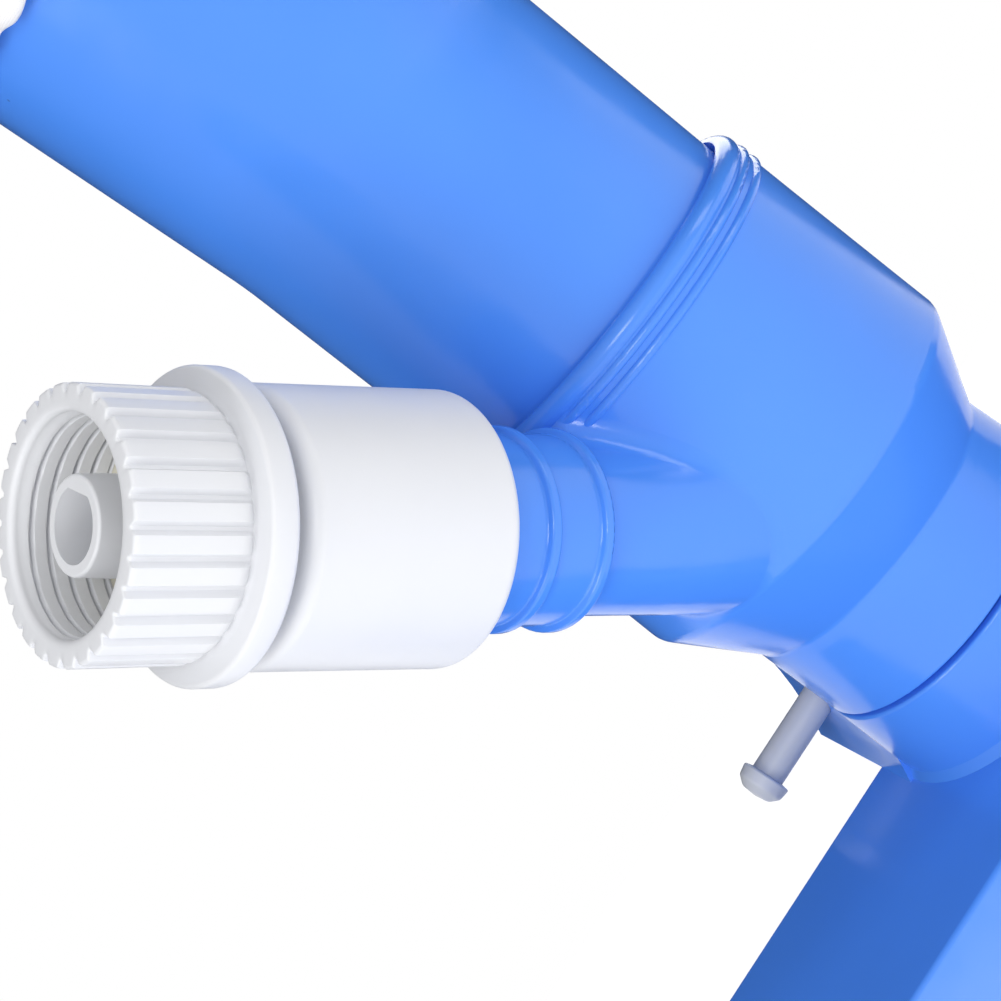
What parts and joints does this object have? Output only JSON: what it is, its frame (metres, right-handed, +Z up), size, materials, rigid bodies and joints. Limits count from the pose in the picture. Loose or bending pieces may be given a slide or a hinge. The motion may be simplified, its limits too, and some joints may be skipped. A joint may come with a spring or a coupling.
{
  "type": "manual pool vacuum head",
  "caption": "Pool vacuum head driven by a garden hose: brush hood, swivelling jet body with a hose inlet and a mesh filter bag on a tube.",
  "frame": {"origin": "on the floor under the swivel axis, at the middle of the head's length", "axes": "+Z up along the swivel axis, +X along the head's length, -Y to the head's front, the side away from the yoke pin"},
  "size_m": [0.273, 0.1345, 0.4418],
  "materials": {
    "blue_plastic": "glossy moulded mid-blue plastic",
    "frame_plastic": "satin moulded blue plastic",
    "white_plastic": "satin white plastic",
    "natural_nylon": "translucent natural nylon",
    "seal_rubber": "smooth black rubber",
    "washer_rubber": "soft tan rubber",
    "bristle_fibre": "white nylon bristles",
    "screw_steel": "stainless steel",
    "bag_mesh": "fine white mesh cloth",
    "elastic_webbing": "gathered white elastic hem"
  },
  "bodies": {
    "head": {"head_shell": "blue_plastic", "base_frame": "frame_plastic", "front_bristles": "bristle_fibre", "back_bristles": "bristle_fibre", "left_bristles": "bristle_fibre", "right_bristles": "bristle_fibre", "base_screws": "screw_steel"},
    "jet_body": {"jet_body": "blue_plastic", "swivel_seal": "seal_rubber", "neck_retaining_ring": "natural_nylon", "jet_ring": "white_plastic", "jet_ring_lower_seal": "seal_rubber", "jet_ring_upper_seal": "seal_rubber", "inlet_inner_seal": "seal_rubber", "inlet_outer_seal": "seal_rubber", "hose_sleeve": "white_plastic", "hose_spigot": "white_plastic"},
    "hose_nut": {"hose_nut": "white_plastic", "hose_washer": "washer_rubber"},
    "bag_tube": {"bag_tube": "blue_plastic", "bag_tube_seal": "seal_rubber"},
    "filter_bag": {"filter_bag": "bag_mesh", "bag_elastic": "elastic_webbing"},
    "yoke_pin": {"yoke_pin": "natural_nylon"}
  },
  "joints": [
    {"name": "body_swivel", "type": "hinge", "parent": "head", "child": "jet_body", "pos_m": [0, 0, 0.0545], "axis": [0, 0, 1], "continuous": true},
    {"name": "nut_spin", "type": "hinge", "parent": "jet_body", "child": "hose_nut", "pos_m": [-0.04891, -0.04532, 0.15204], "axis": [-0.45, -0.417, 0.7897], "continuous": true},
    {"name": "tube_pull", "type": "slide", "parent": "jet_body", "child": "bag_tube", "axis": [0.063, 0.0584, 0.9963], "range_m": [0, 0.03]},
    {"name": "bag_slide", "type": "slide", "parent": "bag_tube", "child": "filter_bag", "axis": [0.063, 0.0584, 0.9963], "range_m": [-0.04, 0]},
    {"name": "pin_pull", "type": "slide", "parent": "head", "child": "yoke_pin", "axis": [-1, 0, 0], "range_m": [0, 0.009]}
  ]
}
